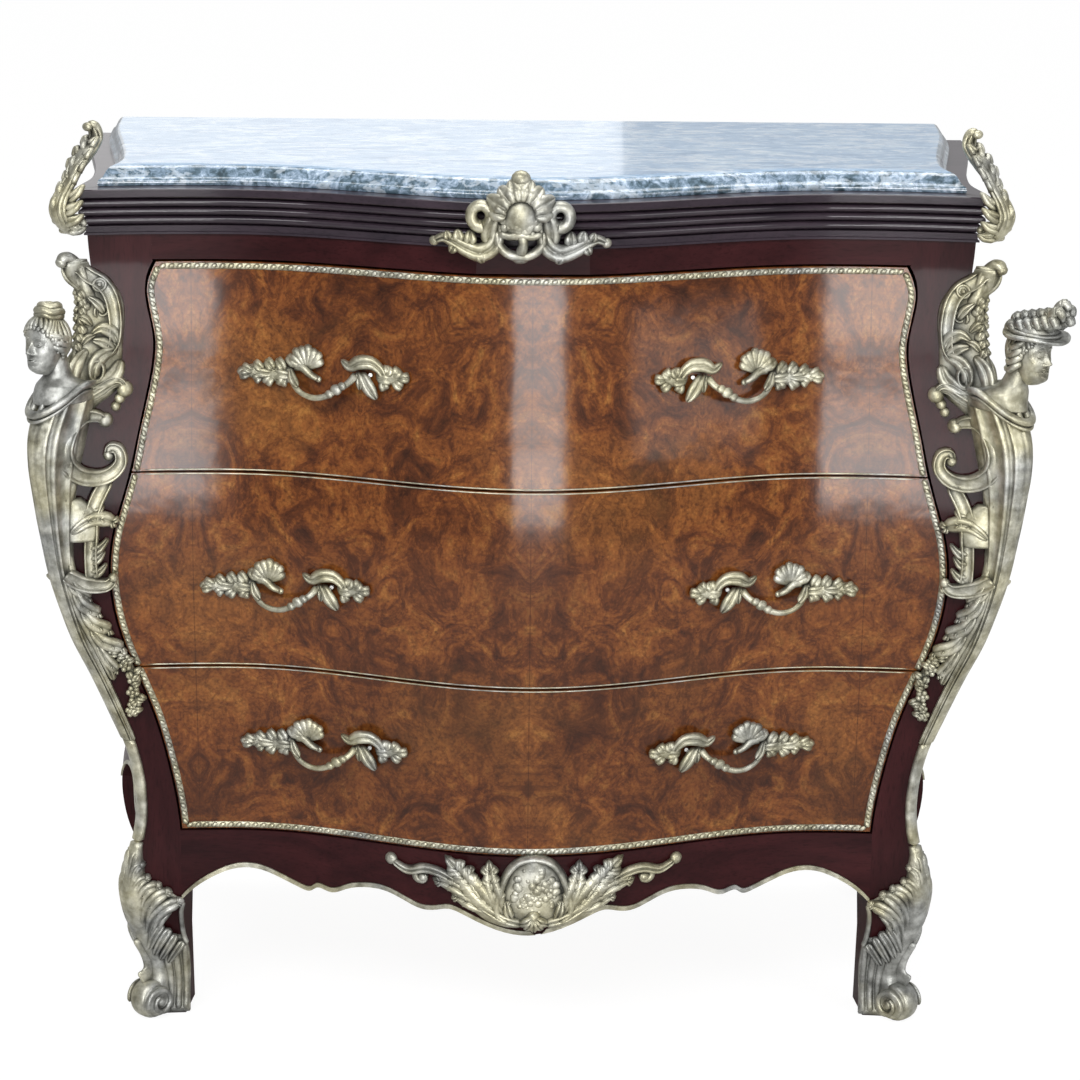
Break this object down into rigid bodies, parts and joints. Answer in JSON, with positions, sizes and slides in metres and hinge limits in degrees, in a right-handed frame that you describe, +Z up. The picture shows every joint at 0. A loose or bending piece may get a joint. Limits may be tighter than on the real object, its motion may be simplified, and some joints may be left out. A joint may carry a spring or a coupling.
{
  "type": "bombe chest",
  "caption": "Bombe chest of drawers: swelling serpentine burl front, dark case on cabriole legs, reeded cornice, marble top and gilt bronze mounts with corner busts.",
  "frame": {"origin": "on the floor, under the middle of the overall box", "axes": "+X to the right seen from the front, +Y to the back, +Z up"},
  "size_m": [1.0319, 0.494, 0.967],
  "materials": {
    "mahogany": "dark reddish purple mahogany veneer, french polished",
    "burl_veneer": "burl walnut veneer, book matched, glossy polish",
    "carcase_wood": "plain stained secondary wood, matt",
    "drawer_lining": "pale drawer lining wood, waxed",
    "marble": "mottled blue green marble, polished",
    "gilt_bronze": "pale gilt bronze with grey patina in the recesses",
    "bolt_steel": "plain steel"
  },
  "bodies": {
    "case": {"marble_top": "marble", "top_board": "carcase_wood", "back_rail": "carcase_wood", "cornice_front": "mahogany", "cornice_left": "mahogany", "cornice_right": "mahogany", "back_panel": "carcase_wood", "side_panel_left": "mahogany", "side_panel_right": "mahogany", "side_apron_left": "mahogany", "side_apron_right": "mahogany", "bottom_board": "carcase_wood", "lower_dust_board": "carcase_wood", "upper_dust_board": "carcase_wood", "drawer_guides": "carcase_wood", "front_leg_left": "mahogany", "front_leg_right": "mahogany", "rear_leg_left": "mahogany", "rear_leg_right": "mahogany", "top_rail": "mahogany", "front_apron": "mahogany", "apron_edge_strips": "gilt_bronze", "corner_mount_left": "gilt_bronze", "corner_mount_right": "gilt_bronze", "bust_left": "gilt_bronze", "bust_right": "gilt_bronze", "corner_clasp_left": "gilt_bronze", "corner_clasp_right": "gilt_bronze", "sabot_left": "gilt_bronze", "sabot_right": "gilt_bronze", "garland_left": "gilt_bronze", "garland_right": "gilt_bronze", "corner_strip_left": "gilt_bronze", "corner_strip_right": "gilt_bronze", "crest": "gilt_bronze", "apron_mount": "gilt_bronze"},
    "upper_drawer": {"upper_drawer_front": "burl_veneer", "upper_drawer_side_left": "drawer_lining", "upper_drawer_side_right": "drawer_lining", "upper_drawer_back": "drawer_lining", "upper_drawer_bottom": "drawer_lining", "upper_rope_trim": "gilt_bronze", "upper_handles": "gilt_bronze", "upper_handle_bolts": "bolt_steel"},
    "middle_drawer": {"middle_drawer_front": "burl_veneer", "middle_drawer_side_left": "drawer_lining", "middle_drawer_side_right": "drawer_lining", "middle_drawer_back": "drawer_lining", "middle_drawer_bottom": "drawer_lining", "middle_rope_trim": "gilt_bronze", "middle_handles": "gilt_bronze", "middle_handle_bolts": "bolt_steel"},
    "lower_drawer": {"lower_drawer_front": "burl_veneer", "lower_drawer_side_left": "drawer_lining", "lower_drawer_side_right": "drawer_lining", "lower_drawer_back": "drawer_lining", "lower_drawer_bottom": "drawer_lining", "lower_rope_trim": "gilt_bronze", "lower_handles": "gilt_bronze", "lower_handle_bolts": "bolt_steel"}
  },
  "joints": [
    {"name": "upper_drawer_slide", "type": "slide", "parent": "case", "child": "upper_drawer", "axis": [0, -1, 0], "range_m": [0, 0.28]},
    {"name": "middle_drawer_slide", "type": "slide", "parent": "case", "child": "middle_drawer", "axis": [0, -1, 0], "range_m": [0, 0.28]},
    {"name": "lower_drawer_slide", "type": "slide", "parent": "case", "child": "lower_drawer", "axis": [0, -1, 0], "range_m": [0, 0.28]}
  ]
}
